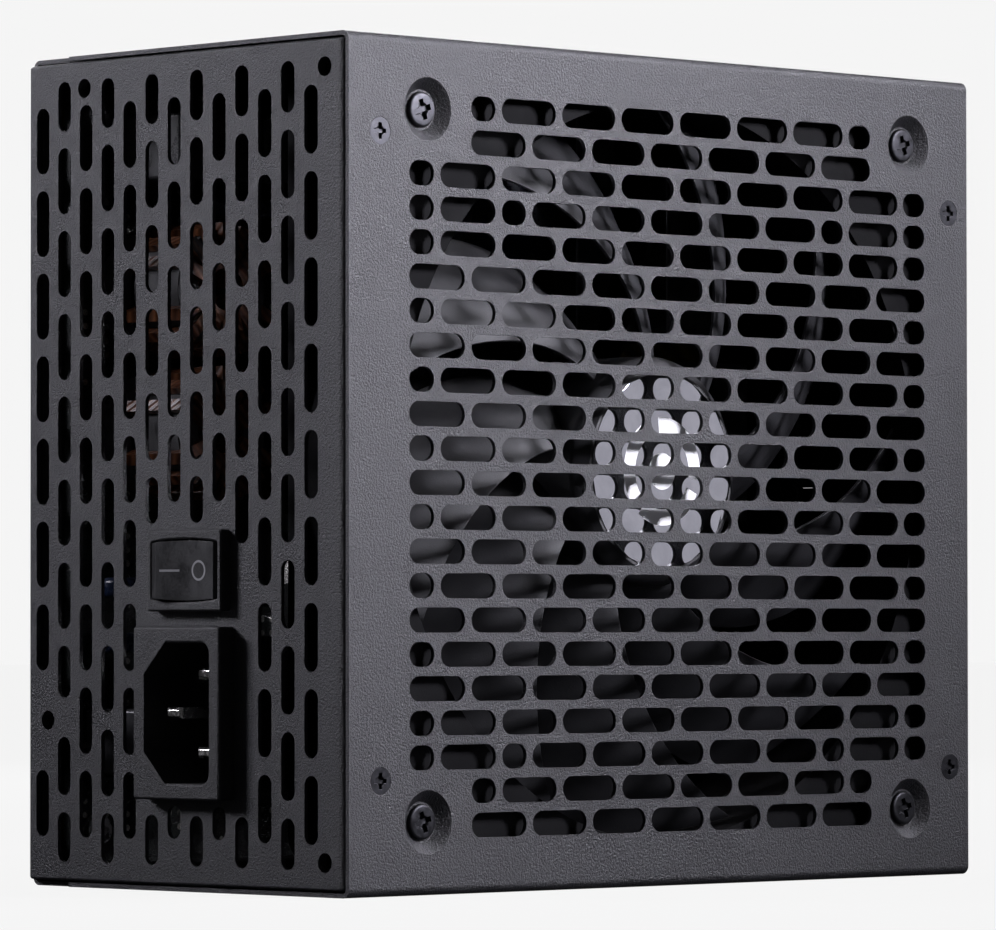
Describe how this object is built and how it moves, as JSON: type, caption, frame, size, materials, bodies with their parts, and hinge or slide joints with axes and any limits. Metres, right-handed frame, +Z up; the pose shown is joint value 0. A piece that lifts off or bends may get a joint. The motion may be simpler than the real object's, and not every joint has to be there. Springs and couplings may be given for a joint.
{
  "type": "power supply unit",
  "caption": "Desktop computer power supply: slotted steel case, large fan, mains inlet, rocker switch and rear output sockets.",
  "frame": {"origin": "centre of the bounding box on the plane the unit stands on", "axes": "+Z up along the 150 mm width, -Y out of the fan grille, -X out of the mains panel, +X out of the output sockets"},
  "size_m": [0.1644, 0.0862, 0.15],
  "materials": {
    "case_paint": "textured powder coat",
    "film": "satin",
    "brass": "satin",
    "board": "satin",
    "steel": "satin",
    "dark_steel": "black oxide",
    "fan_plastic": "fine matt",
    "copper": "enamelled",
    "ferrite": "matt",
    "label_foil": "satin",
    "wire": "matt",
    "pale_plastic": "satin",
    "black_plastic": "fine matt",
    "nickel": "nickel plated",
    "grey_plastic": "satin",
    "blue_ceramic": "satin",
    "glass_fuse": "polished",
    "chip_resin": "matt",
    "aluminium": "satin",
    "capacitor_sleeve": "gloss",
    "tape": "satin",
    "label_paper": "satin"
  },
  "bodies": {
    "housing": {"cover": "case_paint", "tray": "case_paint", "insulating_sheet": "film", "standoffs": "brass", "main_board": "board", "board_screws": "steel", "cover_screws": "dark_steel", "fan_screws": "dark_steel", "fan_frame": "fan_plastic", "fan_bearing": "brass", "stator_core": "steel", "stator_coils": "copper", "fan_board": "board", "fan_lead": "wire", "fan_plug": "pale_plastic", "inlet_housing": "black_plastic", "inlet_pins": "nickel", "filter_board": "board", "switch_housing": "black_plastic", "switch_terminals": "nickel", "film_capacitors": "grey_plastic", "disc_capacitors": "blue_ceramic", "choke_cores": "ferrite", "choke_windings": "copper", "fuse": "glass_fuse", "varistor": "blue_ceramic", "bridge_rectifiers": "chip_resin", "heatsinks": "aluminium", "pfc_core": "ferrite", "pfc_winding": "copper", "bulk_capacitors": "capacitor_sleeve", "power_transistors": "chip_resin", "transformer_core": "ferrite", "transformer_winding": "tape", "standby_transformer": "tape", "output_capacitors": "capacitor_sleeve", "daughter_boards": "board", "converter_inductors": "chip_resin", "socket_board": "board", "socket_pins": "nickel", "rating_label": "label_paper", "main_socket_18": "black_plastic", "main_socket_10": "black_plastic", "eight_way_socket_1": "black_plastic", "eight_way_socket_2": "black_plastic", "eight_way_socket_3": "black_plastic", "eight_way_socket_4": "black_plastic", "eight_way_socket_5": "black_plastic", "eight_way_socket_6": "black_plastic", "high_power_socket": "black_plastic", "six_way_socket_1": "black_plastic", "six_way_socket_2": "black_plastic", "six_way_socket_3": "black_plastic", "six_way_socket_4": "black_plastic"},
    "fan": {"fan_rotor": "fan_plastic", "rotor_yoke": "steel", "rotor_magnet": "ferrite", "rotor_shaft": "steel", "hub_label": "label_foil"},
    "switch_rocker": {"rocker": "black_plastic"}
  },
  "joints": [
    {"name": "fan_spin", "type": "hinge", "parent": "housing", "child": "fan", "pos_m": [0.00245, -0.02906, 0.075], "axis": [0, 1, 0], "continuous": true},
    {"name": "switch_tilt", "type": "hinge", "parent": "housing", "child": "switch_rocker", "pos_m": [-0.07845, -0.00261, 0.0568], "axis": [0, 0, 1], "range_deg": [-16, 0]}
  ]
}
